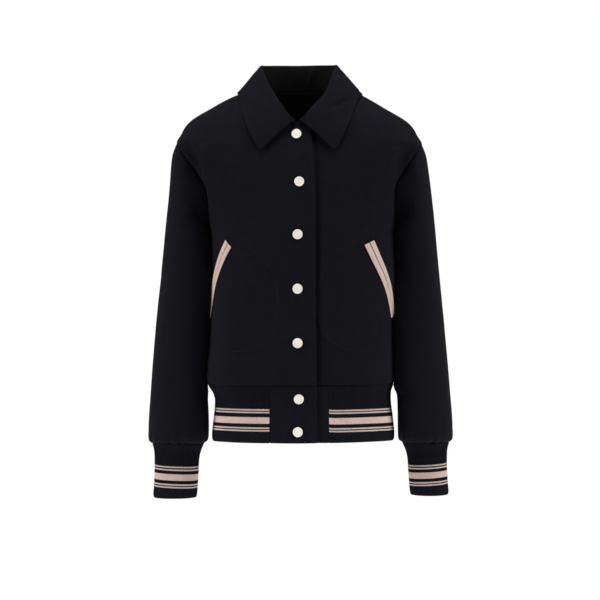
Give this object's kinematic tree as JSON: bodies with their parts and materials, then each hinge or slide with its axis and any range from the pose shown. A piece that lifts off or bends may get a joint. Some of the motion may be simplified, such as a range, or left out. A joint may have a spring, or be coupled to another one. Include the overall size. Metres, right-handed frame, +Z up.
{
  "type": "bomber jacket",
  "caption": "Snap-front bomber jacket in its hollow worn form, with a folding collar, curved welt pockets and striped rib hem and cuffs.",
  "frame": {"origin": "midway between the two high shoulder points, where the wearer's shoulders hold the jacket", "axes": "+Z up, -Y out of the front, +X towards the wearer's left sleeve"},
  "size_m": [0.489, 0.2576, 0.6972],
  "materials": {
    "navy_wool": "dense fine wool weave, matt with a faint nap",
    "navy_rib": "fine rib knit, matt, with pale stripes worked in",
    "pale_rib": "fine rib knit, matt",
    "snap_enamel": "glossy enamel"
  },
  "bodies": {
    "root": {"front_right": "navy_wool", "front_left": "navy_wool", "back": "navy_wool", "sleeve_right": "navy_wool", "cuff_right": "navy_rib", "sleeve_left": "navy_wool", "cuff_left": "navy_rib", "hem_tab_right": "navy_wool", "hem_tab_left": "navy_wool", "hem_rib": "navy_rib", "collar": "navy_wool", "pocket_right_front_lip": "pale_rib", "pocket_right_side_lip": "pale_rib", "pocket_left_front_lip": "pale_rib", "pocket_left_side_lip": "pale_rib", "snap_1": "snap_enamel", "snap_2": "snap_enamel", "snap_3": "snap_enamel", "snap_4": "snap_enamel", "snap_5": "snap_enamel", "snap_6": "snap_enamel", "snap_7": "snap_enamel"}
  },
  "joints": []
}
